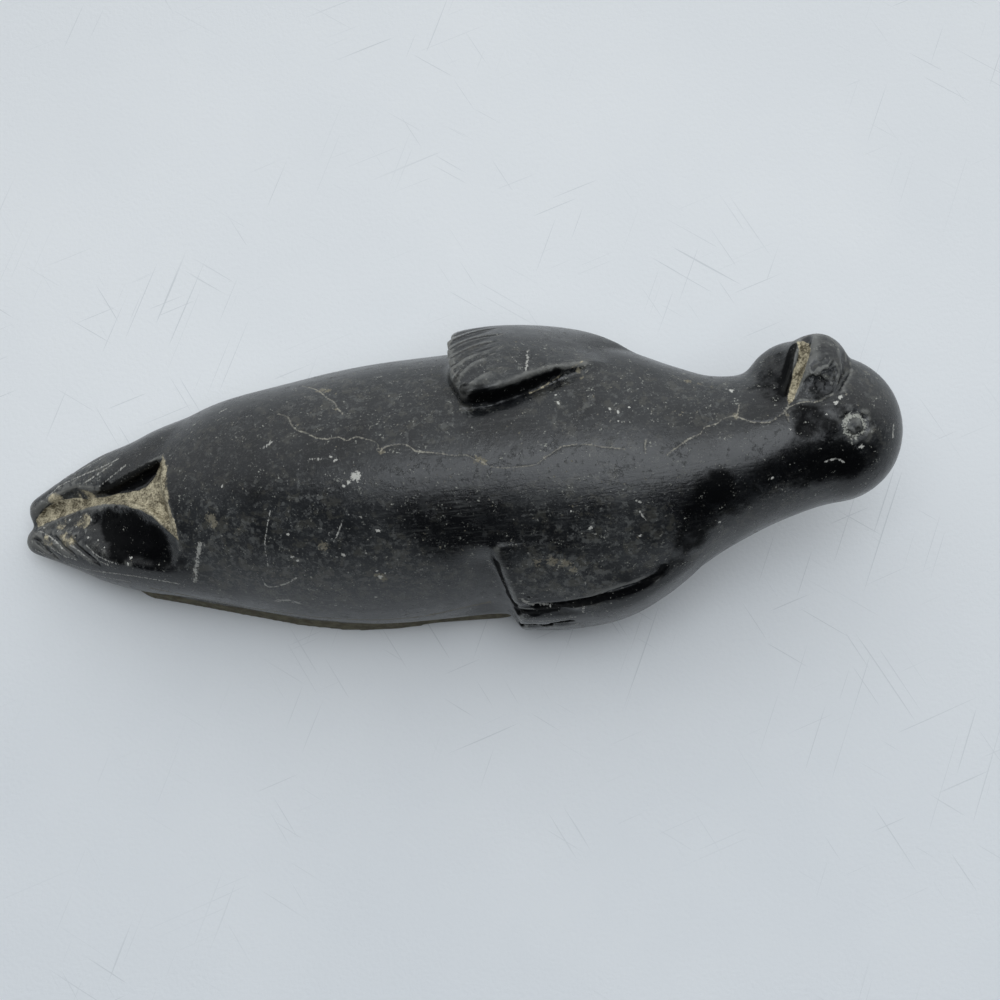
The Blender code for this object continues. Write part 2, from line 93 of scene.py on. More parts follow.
# %% Camera
LOOK_AT = Vector((0.0144, -0.0068, 0.0270))
HEIGHT_ANGLE = math.radians(78)
SIDE_ANGLE = math.radians(-4.5)
DISTANCE = 0.45
PICTURE_WIDTH = 1000
FOCAL_PIXELS = 1590
PIXEL = DISTANCE / FOCAL_PIXELS
SENSOR_WIDTH_MM = 36

towards_camera = Vector(
    (
        math.sin(SIDE_ANGLE) * math.cos(HEIGHT_ANGLE),
        -math.cos(SIDE_ANGLE) * math.cos(HEIGHT_ANGLE),
        math.sin(HEIGHT_ANGLE),
    )
)
camera_data = bpy.data.cameras.new("overhead")
camera_data.sensor_width = SENSOR_WIDTH_MM
camera_data.lens = SENSOR_WIDTH_MM * FOCAL_PIXELS / PICTURE_WIDTH
camera = bpy.data.objects.new("overhead", camera_data)
bpy.context.scene.collection.objects.link(camera)
camera.location = LOOK_AT + towards_camera * DISTANCE
camera.rotation_euler = (-towards_camera).to_track_quat("-Z", "Y").to_euler()
bpy.context.scene.camera = camera
print("camera:", round(camera_data.lens, 1), "mm lens at", [round(number, 3) for number in camera.location])

# %% [markdown]
# ## The skin
#
# On the real seal the back is one smooth polished swell. The solid's facets are about three
# millimetres wide, which is too coarse for that. A voxel remesh wraps the solid in a fine
# even mesh and a few smoothing passes take the facets out. Subdividing the solid would be
# simpler, but it would keep the pattern of the facets.

# %% Fine mesh over the solid
MESH_STEP = 0.62 * MM
FACET_PASSES = 8


def bake(thing):
    """Applies an object's modifiers by putting the finished mesh in place of the old one."""
    graph = bpy.context.evaluated_depsgraph_get()
    graph.update()
    data = bpy.data.meshes.new_from_object(thing.evaluated_get(graph))
    thing.modifiers.clear()
    thing.data = data


def soften(thing, passes):
    """Evens out a mesh by moving each vertex towards its neighbours."""
    smooth = thing.modifiers.new("soften", "SMOOTH")
    smooth.factor = 0.5
    smooth.iterations = passes
    bake(thing)


skin = bpy.data.objects.new("seal_skin", solid.data.copy())
bpy.context.scene.collection.objects.link(skin)
wrap = skin.modifiers.new("fine mesh", "REMESH")
wrap.mode = "VOXEL"
wrap.voxel_size = MESH_STEP
soften(skin, FACET_PASSES)
print("skin:", len(skin.data.polygons), "faces")

# %% [markdown]
# ## Tools for carving in code
#
# A knife cut could be pressed into the mesh by hand in Sculpt Mode, but then nobody could
# change it later. Here each tool reads the vertices as one array, works out how far each
# lies from a line or an outline, and moves it. Lines are given as they are seen in the
# picture: a ray from the camera through each point finds the stone, so a line always lies
# on the surface.

# %% Reading and moving the vertices
def read(thing):
    """The vertices and their normals as two arrays."""
    count = len(thing.data.vertices) * 3
    places = np.empty(count, np.float32)
    normals = np.empty(count, np.float32)
    thing.data.vertices.foreach_get("co", places)
    thing.data.vertex_normals.foreach_get("vector", normals)
    return places.reshape(-1, 3).astype(float), normals.reshape(-1, 3).astype(float)


def write(thing, places):
    """Puts the vertices at new places."""
    thing.data.vertices.foreach_set("co", places.astype(np.float32).ravel())
    thing.data.update()


def ease(share):
    """0 to 1 with a soft start and end."""
    share = np.clip(share, 0, 1)
    return share * share * (3 - 2 * share)


print("highest vertex:", round(float(read(skin)[0][:, 2].max()) / MM, 1), "mm above the table")

# %% From the picture to the stone
tree = BVHTree.FromObject(skin, bpy.context.evaluated_depsgraph_get())
turn = camera.rotation_euler.to_matrix()


def seen_at(u, v):
    """The place on the stone that is seen at a point of the picture."""
    half = PICTURE_WIDTH / 2
    ray = turn @ Vector(((u - half) / FOCAL_PIXELS, (half - v) / FOCAL_PIXELS, -1))
    return tree.ray_cast(camera.location, ray.normalized())[0]


def gap_to_spot(places, u, v):
    """How far each place is from the one seen at a point of the picture."""
    middle = seen_at(u, v)
    if middle is None:
        return np.full(len(places), np.inf)
    return np.linalg.norm(places - np.array(middle), axis=1)


def facing(normals):
    """How squarely the stone faces the camera: 1 is straight at it and 0 is edge on."""
    return normals @ np.array(towards_camera)


def in_picture(places):
    """Where places are seen in the picture, as two arrays."""
    seen = (places - np.array(camera.location)) @ np.array(turn)
    half = PICTURE_WIDTH / 2
    return half - seen[:, 0] / seen[:, 2] * FOCAL_PIXELS, half + seen[:, 1] / seen[:, 2] * FOCAL_PIXELS


print("the middle of the picture is at", [round(number, 4) for number in seen_at(500, 500)])

# %% [markdown]
# A line is given by a few points, and a Catmull-Rom curve runs smoothly through all of them.
# It is chosen over a Bezier curve because it needs no handles. The distance of a vertex from
# the line is then the least of its distances from the curve's short straight runs.
#
# An outline needs one more thing, which is whether a vertex is inside. A level line from the
# vertex crosses the outline an odd number of times if it is.

# %% Lines
NEAR = 6 * MM
TINY = 1e-12


def drawn(points, spacing=3):
    """A smooth line drawn in the picture, as close-set places on the stone."""
    rows = np.array(points, float)
    padded = np.vstack([2 * rows[0] - rows[1], rows, 2 * rows[-1] - rows[-2]])
    made = []
    for i in range(len(rows) - 1):
        before, start, end, after = padded[i : i + 4]
        count = max(1, int(np.linalg.norm(end - start) / spacing))
        for t in np.arange(count) / count:
            bend = (2 * before - 5 * start + 4 * end - after) * t**2
            twist = (3 * start - before - 3 * end + after) * t**3
            made.append(0.5 * (2 * start + (end - before) * t + bend + twist))
    made.append(rows[-1])
    found = [seen_at(*point) for point in made]
    return np.array([place for place in found if place])


def distance_to_line(places, points):
    """How far each place is from a drawn line, and how far along it the nearest point is."""
    line = drawn(points)
    nearest = np.full(len(places), NEAR)
    way = np.zeros(len(places))
    around = np.nonzero(((places > line.min(0) - NEAR) & (places < line.max(0) + NEAR)).all(1))[0]
    for i in range(len(line) - 1):
        start, run = line[i], line[i + 1] - line[i]
        along = np.clip(((places[around] - start) @ run) / max(run @ run, TINY), 0, 1)
        gap = np.linalg.norm(places[around] - start - along[:, None] * run, axis=1)
        nearer = gap < nearest[around]
        nearest[around[nearer]] = gap[nearer]
        way[around[nearer]] = (i + along[nearer]) / (len(line) - 1)
    return nearest, way


print("a line 100 pixels long becomes", len(drawn([(450, 460), (550, 460)])), "places on the stone")


# %% Outlines and patches
PATCH_EDGE = 1.6


def depth_inside(places, normals, outline):
    """How many pixels places are inside an outline drawn in the picture, negative outside."""
    u, v = in_picture(places)
    nearest = np.full(len(u), np.inf)
    crossings = np.zeros(len(u), bool)
    for (au, av), (bu, bv) in zip(outline, outline[1:] + outline[:1]):
        du, dv = bu - au, bv - av
        along = np.clip(((u - au) * du + (v - av) * dv) / (du * du + dv * dv), 0, 1)
        nearest = np.minimum(nearest, np.hypot(u - au - along * du, v - av - along * dv))
        crosses = (av > v) != (bv > v)
        crossings ^= crosses & (u < au + (v - av) * du / (dv if dv else TINY))
    return np.where((facing(normals) > 0) & crossings, nearest, -nearest)


def patches(places, circles):
    """Soft circles drawn in the picture, each with its own strength in the middle.

    A circle has its full strength up to 0.6 of its radius and fades to nothing at 1.6 of it.
    """
    total = np.zeros(len(places))
    for u, v, radius, strength in circles:
        away = gap_to_spot(places, u, v) / (radius * PIXEL)
        total = np.maximum(total, strength * ease(PATCH_EDGE - away))
    return total


in_patch = patches(read(skin)[0], [(500, 460, 20, 1.0)])
print("a patch of 20 pixels reaches", int((in_patch > 0).sum()), "vertices")

# %% [markdown]
# ## The lines of the carving
#
# The carver cut the mouth, a crease beside the muzzle, the digits of the flippers and the
# toes with a knife. Each list holds such cuts as they are seen from above.

# %% Cuts on the head
MOUTH = [(807, 338), (804, 350), (799, 368), (793, 386), (786, 404)]
MUZZLE_CREASE = [(847, 352), (848, 366), (845, 376), (839, 385), (836, 396)]
MUZZLE_STEP = [
    (803, 379), (809, 373), (816, 375), (821, 369), (828, 366), (834, 358), (839, 372), (838, 385),
    (832, 394), (824, 397), (815, 400), (803, 400), (795, 399), (799, 388),
]
print("head:", len(MOUTH), "points on the mouth,", len(MUZZLE_STEP), "round the muzzle's step")

# %% Cuts on the flippers and the tail
FAR_DIGITS = [
    [(464, 385), (474, 377), (486, 371), (502, 367)],
    [(457, 374), (468, 364), (482, 357), (496, 353)],
    [(452, 366), (463, 358), (479, 351), (496, 347)],
    [(450, 358), (463, 351), (479, 345), (500, 341)],
    [(450, 349), (463, 342), (480, 337), (504, 334)],
    [(454, 340), (468, 334), (484, 330), (500, 328)],
]
NEAR_BAND = [(516, 611), (532, 612), (552, 611), (578, 608)]
NEAR_SLOT = [(512, 624), (530, 625), (550, 624), (574, 620)]
NEAR_FACE_EDGE = [
    (540, 604), (556, 603), (580, 599), (602, 594), (622, 588), (642, 581), (660, 573), (667, 562),
]
TOE_LINES = [
    [(34, 538), (45, 549), (62, 561)],
    [(54, 534), (64, 547), (80, 559)],
    [(66, 533), (80, 549), (104, 567)],
]
print("limbs:", len(FAR_DIGITS), "digit lines,", len(TOE_LINES), "toe lines")

# %% [markdown]
# ## The marks on the stone
#
# The rest is only colour, or nearly so: cream veins that run through the stone, lines of
# dust, pale rims, of which some are rubbed pale and some are painted highlights on edges,
# and white scratches, with two painted highlights among them. A texture noise can make
# veins of the right kind but never in the right place, so each is drawn. A number after a
# line is its half width in millimetres.

# %% Veins, rims and scratches
VEINS = [
    [
        (278, 414), (288, 417), (291, 424), (297, 430), (307, 433), (314, 437), (327, 439), (339, 437),
        (346, 441),
    ],
    [
        (346, 441), (356, 437), (366, 439), (376, 442), (380, 451), (385, 447), (398, 444), (407, 445),
        (415, 451),
    ],
    [
        (415, 451), (424, 452), (437, 453), (451, 455), (466, 455), (473, 458), (483, 462), (489, 466),
        (503, 468),
    ],
    [
        (503, 468), (517, 467), (537, 464), (544, 458), (552, 453), (561, 447), (571, 445), (581, 444),
        (593, 445),
    ],
    [(593, 445), (605, 447), (618, 448), (625, 449)],
    [(646, 439), (645, 447), (646, 453)],
    [
        (667, 455), (673, 450), (683, 443), (690, 438), (700, 434), (705, 427), (715, 424), (727, 417),
        (735, 416),
    ],
    [
        (735, 416), (746, 420), (754, 422), (769, 422), (776, 418), (783, 413), (789, 407), (802, 402),
        (815, 402),
    ],
    [(815, 402), (825, 398), (833, 394)],
    [(739, 405), (738, 411), (736, 416)],
    [(302, 386), (312, 388), (319, 391), (327, 398), (334, 402), (338, 409), (343, 414)],
    [(788, 405), (786, 412), (790, 424)],
]
FLIPPER_DUST = [(530, 393), (541, 388), (556, 378), (568, 370), (583, 361)]
CLEFT_DUST = [(163, 457), (166, 475), (168, 506), (178, 541)]
# Pale rims: some are rubbed pale, and some are painted highlights where an edge catches the light, as on the
# far hind flipper's top edge and along the muzzle's outline.
RUBBED_RIMS_AND_HIGHLIGHTS = [
    [(460, 382), (452, 370), (448, 357), (448, 346), (453, 337)],
    [(174, 532), (166, 522), (150, 510), (126, 503), (96, 505), (62, 518), (38, 529)],
    [(44, 508), (58, 494), (76, 487), (96, 487)],
    [(845, 352), (847, 366), (844, 376), (837, 384)],
    [(796, 344), (803, 338), (815, 334), (828, 337), (838, 346)],
    [(72, 483), (84, 474), (100, 469)],
    [(32, 531), (44, 540), (58, 552)],
    [(782, 346), (790, 342), (800, 341)],
]
# The pale line along the belly's lower edge is a painted reflection of the pale table.
BELLY_REFLECTION_LINE = [
    (150, 588), (200, 598), (230, 604), (258, 609), (288, 613), (315, 617), (345, 619), (373, 620),
    (395, 619), (417, 617), (440, 613), (457, 609), (490, 602),
]
TAIL_SCRATCHES = [
    [(46, 498), (60, 486), (78, 477), (100, 468), (118, 459)],
    [(58, 482), (80, 470), (104, 457)],
    [(84, 483), (98, 474), (112, 464)],
    [(100, 486), (112, 476), (126, 465)],
    [(36, 550), (60, 564), (95, 575), (130, 582)],
    [(64, 562), (90, 570), (140, 577), (180, 584)],
    [(48, 545), (62, 555), (76, 560)],
    [(70, 545), (90, 557), (108, 565)],
    [(86, 545), (98, 556), (116, 564)],
    [(40, 531), (52, 538), (64, 549)],
]
# White scratches, and two painted highlights: one on the head's right edge beside the eye, and one along the
# near flipper's lowest edge.
WHITE_SCRATCHES_AND_HIGHLIGHTS = [
    ([(528, 350), (527, 360), (526, 371)], 0.40),
    ([(512, 357), (516, 361), (519, 364)], 0.25),
    ([(201, 544), (198, 554), (196, 568), (195, 582)], 0.8),
    ([(270, 511), (267, 528), (265, 545), (268, 566)], 0.22),
    ([(343, 520), (339, 530), (334, 542)], 0.22),
    ([(263, 580), (268, 587), (285, 584), (296, 578)], 0.35),
    ([(277, 601), (288, 600), (297, 603)], 0.9),
    ([(824, 462), (830, 460), (838, 459), (844, 462)], 0.26),
    # painted highlight on the head's right edge
    ([(894, 425), (893, 431), (893, 437)], 0.45),
    ([(523, 600), (530, 604), (538, 603), (550, 605)], 0.65),
    ([(514, 611), (514, 617), (520, 620), (545, 621), (576, 617)], 0.28),
    # painted highlight along the near flipper's lowest edge
    ([(513, 623), (517, 628), (534, 630), (560, 628), (584, 622)], 0.30),
    ([(636, 500), (643, 503)], 0.40),
    ([(640, 512), (646, 520)], 0.35),
    ([(756, 530), (753, 537)], 0.30),
    ([(220, 412), (226, 409)], 0.60),
    ([(264, 448), (272, 442)], 0.50),
    ([(310, 459), (324, 459)], 0.35),
    ([(584, 606), (583, 612)], 0.45),
]
print(len(VEINS), "lines of veins,", len(RUBBED_RIMS_AND_HIGHLIGHTS), "rims,", len(WHITE_SCRATCHES_AND_HIGHLIGHTS + TAIL_SCRATCHES), "scratches")

# %% [markdown]
# Small knocks have gone chalky white, and grains of tan stone show in a few places. They are
# round at heart, so a place and a radius in pixels are enough.

# %% Spots
CHALK_SPOTS = [
    (355, 476, 5.5), (349, 482, 2.5), (344, 486, 1.6), (331, 457, 2.0), (335, 460, 2.4), (861, 447, 3.2),
    (841, 397, 2.0), (836, 403, 2.0), (618, 412, 1.6), (629, 407, 1.3), (618, 421, 1.1), (773, 478, 1.7),
    (556, 395, 1.5), (558, 403, 1.5), (610, 409, 1.6), (222, 486, 1.5), (378, 531, 2.0), (344, 555, 2.2),
    (640, 536, 1.6), (590, 528, 2.0), (571, 511, 1.2), (131, 558, 1.5), (128, 564, 1.8), (720, 522, 1.6),
    (380, 577, 2.8), (377, 571, 1.5), (385, 573, 1.4), (376, 597, 1.5), (292, 557, 2.0), (298, 561, 1.6),
    (288, 534, 1.8), (731, 391, 2.6), (790, 429, 1.4), (827, 414, 1.4),
    (86, 514, 1.8), (91, 520, 1.4), (80, 517, 1.4), (76, 527, 1.4), (70, 520, 1.2), (64, 526, 1.4),
    (58, 531, 1.2), (95, 530, 1.2), (98, 540, 1.0), (104, 548, 1.0), (88, 538, 1.4), (50, 536, 1.2),
    (44, 528, 1.2), (72, 552, 1.2), (62, 548, 1.0), (84, 555, 1.2), (46, 545, 1.2), (37, 542, 1.0),
]
TAN_SPOTS = [
    (380, 576, 6.5), (384, 579, 4.0), (324, 546, 5.5), (211, 519, 6.0), (214, 524, 4.5), (321, 390, 4.5),
    (328, 391, 3.5), (381, 452, 3.5), (478, 460, 4.0), (484, 462, 3.0), (736, 416, 3.0), (538, 562, 5.0),
    (552, 561, 6.0), (566, 564, 5.5), (573, 570, 4.0), (688, 381, 3.5), (700, 384, 3.0), (712, 387, 2.5),
    (337, 409, 2.5), (578, 371, 3.0), (582, 378, 2.5), (86, 521, 6.0), (78, 524, 4.5), (70, 541, 6.5),
    (62, 537, 4.5),
]
print("spots:", len(CHALK_SPOTS), "of chalk and", len(TAN_SPOTS), "of tan stone")

# %% [markdown]
# ## A finer mesh where the carving is
#
# The even mesh is fine enough for the plain back but not for a scratch. Faces near a cut or
# a mark are divided once more, so that they can take crisp edges. Dividing the whole skin
# would make it four times as heavy for nothing.

# %% Divide the carved places
FINE_REACH = 1.1 * MM
SPOT_MARGIN = 2 * PIXEL + 0.5 * MM
JUST_TURNED_AWAY = -0.1
CIRCLE_SHARE = 0.3
FINE_PASSES = 2
FINE_CIRCLES = [
    (822, 378, 30, 1), (826, 425, 26, 1), (855, 428, 16, 1), (834, 461, 14, 1), (60, 535, 36, 1),
    (90, 500, 30, 1), (140, 495, 40, 1), (515, 600, 16, 1),
]


def carved_places(places, normals):
    """Which places lie near a cut, a mark or one of the carved areas."""
    lines = FAR_DIGITS + TOE_LINES + VEINS + RUBBED_RIMS_AND_HIGHLIGHTS + TAIL_SCRATCHES
    lines = lines + [line for line, _ in WHITE_SCRATCHES_AND_HIGHLIGHTS]
    lines = lines + [MOUTH, MUZZLE_CREASE, NEAR_BAND, NEAR_SLOT, NEAR_FACE_EDGE]
    lines = lines + [FLIPPER_DUST, CLEFT_DUST, BELLY_REFLECTION_LINE]
    near = patches(places, FINE_CIRCLES) > CIRCLE_SHARE
    for line in lines:
        near |= distance_to_line(places, line)[0] < FINE_REACH
    for u, v, radius in CHALK_SPOTS + TAN_SPOTS:
        near |= gap_to_spot(places, u, v) < radius * PIXEL + SPOT_MARGIN
    return near & (facing(normals) > JUST_TURNED_AWAY)


carved = carved_places(*read(skin))
mesh = bmesh.new()
mesh.from_mesh(skin.data)
inner = [edge for edge in mesh.edges if carved[edge.verts[0].index] and carved[edge.verts[1].index]]
bmesh.ops.subdivide_edges(mesh, edges=inner, cuts=1, use_grid_fill=True)
mesh.to_mesh(skin.data)
mesh.free()
soften(skin, FINE_PASSES)
print("divided:", int(carved.sum()), "places carved, skin now", len(skin.data.polygons), "faces")

# %% [markdown]
# ## Sharpening the carving
#
# The remesh and the smoothing round off every cut a little, as a wet sponge would. The cuts
# that catch the eye are made again with narrow strokes: the mouth, the crease and the step
# of the muzzle, the digits, the slots of the near flipper and the toes. A bump in the
# finish would look cut from above only. Moving the vertices looks right from every side.
#
# The knife left small flat facets on the muzzle and the tail, and those come from a Voronoi
# pattern: all the stone nearest to one cell's middle is leaned the same way.

# %% Strokes, steps and facets
START_FADE = 6
END_FADE = 4
LEAST_SHARE = 0.02
LEAN_PATTERN = 3.7
LIFT_PATTERN = 5.1
LEAN = 1.6
LIFT = 0.6


def score(thing, points, half_width, depth, open_start=False):
    """Cuts a drawn line into the stone.

    It fades out over its last quarter, and in over its first sixth unless the start is open.
    """
    places, normals = read(thing)
    nearest, way = distance_to_line(places, points)
    fade = ease((1 - way) * END_FADE) * (1 if open_start else ease(way * START_FADE))
    strength = ease(1 - nearest / half_width) * fade
    write(thing, places - normals * (depth * strength)[:, None])


def sink(thing, outline, depth, wall):
    """Lowers the stone inside a drawn outline. The wall is the width of its slope in pixels."""
    places, normals = read(thing)
    share = ease(depth_inside(places, normals, outline) / wall)
    write(thing, places - normals * (depth * share)[:, None])


def chip(thing, circles, size, height):
    """Breaks soft circles of the surface into small facets that lean this way and that."""
    places, normals = read(thing)
    share = patches(places, circles) * (facing(normals) > 0)
    moved = np.zeros(len(places))
    for i in np.nonzero(share > LEAST_SHARE)[0]:
        here = Vector(places[i]) / size  # measured in facets, so one cell is one facet
        middle = noise.voronoi(here)[1][0]
        lean = (here - middle).dot(noise.noise_vector(middle * LEAN_PATTERN)) * LEAN
        lift = noise.noise(middle * LIFT_PATTERN) * LIFT
        moved[i] = share[i] * (lean + lift)
    write(thing, places + normals * (height * moved)[:, None])


# %% [markdown]
# Each cut below is a line, its half width and depth in millimetres, and whether its start is
# open, as where a digit's line runs out over the flipper's edge. The chips are soft circles,
# the size of one facet and how far it may stand up, again in millimetres.

# %% Carve
STEP_DEPTH = 0.55 * MM
STEP_WALL_PIXELS = 3.0
CUTS = [(MOUTH, 1.9, 0.8, False), (MUZZLE_CREASE, 1.0, 0.4, False)]
CUTS += [(digit, 0.8, 0.35, True) for digit in FAR_DIGITS]
CUTS += [(NEAR_BAND, 1.5, 0.7, True), (NEAR_SLOT, 0.9, 1.7, True), (NEAR_FACE_EDGE, 0.9, 0.7, False)]
CUTS += [(toe, 0.9, 0.6, False) for toe in TOE_LINES]
CUTS += [(vein, 0.5, 0.08, False) for vein in VEINS]
CHIPS = [
    ([(822, 384, 16, 1.0), (828, 372, 12, 0.9), (812, 390, 10, 0.9)], 2.3, 0.40),
    ([(828, 425, 9, 0.8), (829, 440, 8, 0.8), (855, 426, 13, 0.6)], 1.1, 0.16),
    ([(52, 538, 22, 1.0), (80, 530, 18, 0.9), (70, 500, 26, 0.8), (90, 480, 18, 0.6)], 2.4, 0.30),
    ([(120, 500, 26, 1.0), (160, 500, 24, 1.0), (162, 475, 12, 1.0), (800, 365, 22, 0.8)], 1.2, 0.16),
    ([(534, 602, 12, 1.0), (516, 617, 8, 0.8)], 1.0, 0.20),
]

sink(skin, MUZZLE_STEP, STEP_DEPTH, STEP_WALL_PIXELS)
for line, half_width, depth, open_start in CUTS:
    score(skin, line, half_width * MM, depth * MM, open_start)
for circles, facet, height in CHIPS:
    chip(skin, circles, facet * MM, height * MM)
print("carved:", len(CUTS), "cuts and", len(CHIPS), "groups of chips")

# %% [markdown]
# ## Fewer triangles where the stone is plain
#
# The skin is now far heavier than it has to be. A Decimate modifier gathers the plain back
# into larger triangles, and a vertex group keeps it away from the carved places. A coarser
# remesh would have been lighter from the start, but the flippers' thin edges need a fine one.
#
# A raised chip may push a vertex out a hair, so all are held inside the solid's own box.

# %% Thin out the plain stone
MOST_TRIANGLES = 192000
kept = skin.vertex_groups.new(name="carved")
kept.add([int(i) for i in np.nonzero(carved_places(*read(skin)))[0]], 1.0, "REPLACE")
fewer = skin.modifiers.new("fewer triangles", "DECIMATE")
fewer.ratio = min(1.0, MOST_TRIANGLES / sum(len(face.vertices) - 2 for face in skin.data.polygons))
fewer.vertex_group = kept.name
fewer.invert_vertex_group = True
fewer.use_collapse_triangulate = True
bake(skin)
skin.vertex_groups.clear()
places, normals = read(skin)
low, high = (np.array(corner) for corner in size_at_start)
write(skin, np.clip(places, low, high))
skin.data.shade_smooth()
print("skin:", len(skin.data.polygons), "triangles")

# %% [markdown]
# ## Marks on the surface
#
# A painted image could carry the marks, but it would be as sharp only as its pixels. Here
# each kind of mark becomes an attribute of the skin: a soft number on every vertex, 1 on the
# mark and 0 a little way off. The finish then cuts a ragged edge from it with noise, so the
# marks stay crisp from near by too.

# %% Marks as attributes
VEIN_HALF_WIDTH = 0.30
RIM_HALF_WIDTH = 0.36
DIGIT_HALF_WIDTH = 0.26
TAIL_SCRATCH_HALF_WIDTH = 0.30
BELLY_REFLECTION_HALF_WIDTH = 0.55


def add_number(name, numbers):
    """Gives every vertex of the skin a number that a finish can read by name."""
    layer = skin.data.attributes.new(name, "FLOAT", "POINT")
    layer.data.foreach_set("value", numbers.astype(np.float32))


def lines_on(places, lines):
    """1 on a line and 0 at twice its half width, for pairs of a line and a half width in mm."""
    made = np.zeros(len(places))
    for points, half_width in lines:
        gap, _ = distance_to_line(places, points)
        made = np.maximum(made, 1 - gap / (2 * half_width * MM))
    return made


def spots_on(places, spots):
    """1 in the middle of a spot, 0.5 at its edge and 0 at twice its radius."""
    made = np.zeros(len(places))
    for u, v, radius in spots:
        away = gap_to_spot(places, u, v) / (radius * PIXEL)
        made = np.maximum(made, 1 - away / 2)
    return made


places, normals = read(skin)
rims_and_highlights = [(line, RIM_HALF_WIDTH) for line in RUBBED_RIMS_AND_HIGHLIGHTS] + [(line, DIGIT_HALF_WIDTH) for line in FAR_DIGITS]
scratches = WHITE_SCRATCHES_AND_HIGHLIGHTS + [(line, TAIL_SCRATCH_HALF_WIDTH) for line in TAIL_SCRATCHES]
belly_reflection = lines_on(places, [(BELLY_REFLECTION_LINE, BELLY_REFLECTION_HALF_WIDTH)])
add_number("vein", lines_on(places, [(line, VEIN_HALF_WIDTH) for line in VEINS]))
add_number("rim", lines_on(places, rims_and_highlights))
add_number("scratch", lines_on(places, scratches))
add_number("chalk", spots_on(places, CHALK_SPOTS))
# The tan attribute holds tan grains and the painted reflection along the belly's lower edge.
add_number("tan", np.maximum(spots_on(places, TAN_SPOTS), belly_reflection))
print("marks set on", len(places), "vertices")

# %% [markdown]
# ## Dust
#
# Pale dust and polishing paste have packed into the deepest cuts: the floor of the cleft
# between the hind flippers, and the mouth. Ambient Occlusion could find hollows by itself,
# but it would dust the clean ones too. The two dusty floors are outlined instead, and two
# lines and some soft circles give the thinner dust elsewhere. Each circle is a place, a
# radius and a strength.

# %% Dust as an attribute
MOUTH_FLOOR = [
    (797, 342), (803, 341), (809, 344), (811, 350), (808, 360), (805, 370), (801, 380), (797, 390),
    (793, 401), (789, 404), (787, 400), (789, 390), (792, 380), (794, 370), (798, 360), (799, 350),
]
RECESS_FLOOR = [
    (163, 457), (167, 470), (165, 486), (169, 506), (175, 524), (179, 541), (166, 529), (152, 516),
    (138, 509), (122, 505), (104, 504), (90, 507), (72, 513), (54, 520), (38, 527), (36, 520),
    (44, 509), (57, 501), (74, 498), (92, 499), (108, 496), (124, 493), (138, 491), (148, 486), (156, 475),
]
DUST = [
    (48, 541, 8, 0.46), (66, 541, 9, 0.50), (84, 521, 10, 0.52), (56, 500, 9, 0.48), (787, 416, 3, 0.5),
    (88, 497, 12, 0.50), (537, 603, 7, 0.30), (62, 525, 8, 0.42), (100, 470, 8, 0.34),
]
THIN_DUST = 0.55
FLOOR_EDGE_PIXELS = 6

floors = np.maximum(depth_inside(places, normals, RECESS_FLOOR), depth_inside(places, normals, MOUTH_FLOOR))
dusty_lines = lines_on(places, [(FLIPPER_DUST, 0.45), (CLEFT_DUST, 1.2)]) * THIN_DUST
dusty_floors = ease(floors / FLOOR_EDGE_PIXELS + 0.5)
add_number("dust", np.max([patches(places, DUST), dusty_floors, dusty_lines], axis=0))
print("dust: on", int((dusty_floors > 0.5).sum()), "vertices of the two floors")

# %% [markdown]
# ## Worn and combed stone, and painted reflection
#
# The polish has worn off the flanks, the shoulders and the tips of the tail, and a rasp has
# left long fine ridges along the near side of the back. On the far flank and the far flipper
# the same soft patches also lighten the stone, as a painted reflection of the bright side of
# the room. One noise over the whole skin would wear it evenly, which no hand does. Both kinds
# come and go softly, so large overlapping circles are enough to say where.

# %% Worn and combed stone, and painted reflection, as attributes
# Worn patches. Those above the back's middle lighten the far flank and far flipper as painted reflection.
WORN_AND_REFLECTION_PATCHES = [
    (230, 560, 55, 0.8), (300, 585, 60, 0.9), (380, 575, 50, 0.8), (440, 590, 40, 0.7), (210, 520, 34, 0.7),
    (300, 530, 44, 0.6), (545, 575, 30, 0.9), (580, 582, 34, 1.0), (330, 400, 44, 0.6), (420, 400, 50, 0.5),
    (570, 385, 44, 0.6), (350, 490, 40, 0.3), (600, 520, 46, 0.6), (640, 545, 40, 0.8), (560, 520, 40, 0.4),
    (90, 470, 36, 0.8), (50, 540, 34, 1.0), (850, 425, 16, 0.8), (700, 390, 40, 0.6), (745, 375, 30, 0.5),
    (822, 380, 24, 0.5), (480, 360, 40, 0.6), (870, 375, 32, 0.6), (200, 440, 50, 0.4), (260, 440, 50, 0.4),
    (720, 540, 36, 0.6), (610, 400, 50, 0.5), (440, 420, 30, 0.6), (800, 500, 40, 0.4), (880, 440, 30, 0.3),
]
COMBED = [
    (430, 525, 50, 0.7), (500, 520, 50, 1.0), (570, 520, 50, 1.0), (640, 505, 46, 1.0), (700, 480, 40, 0.8),
]

add_number("worn", patches(places, WORN_AND_REFLECTION_PATCHES))
add_number("combed", patches(places, COMBED))
print("patches:", len(WORN_AND_REFLECTION_PATCHES), "worn and", len(COMBED), "combed")
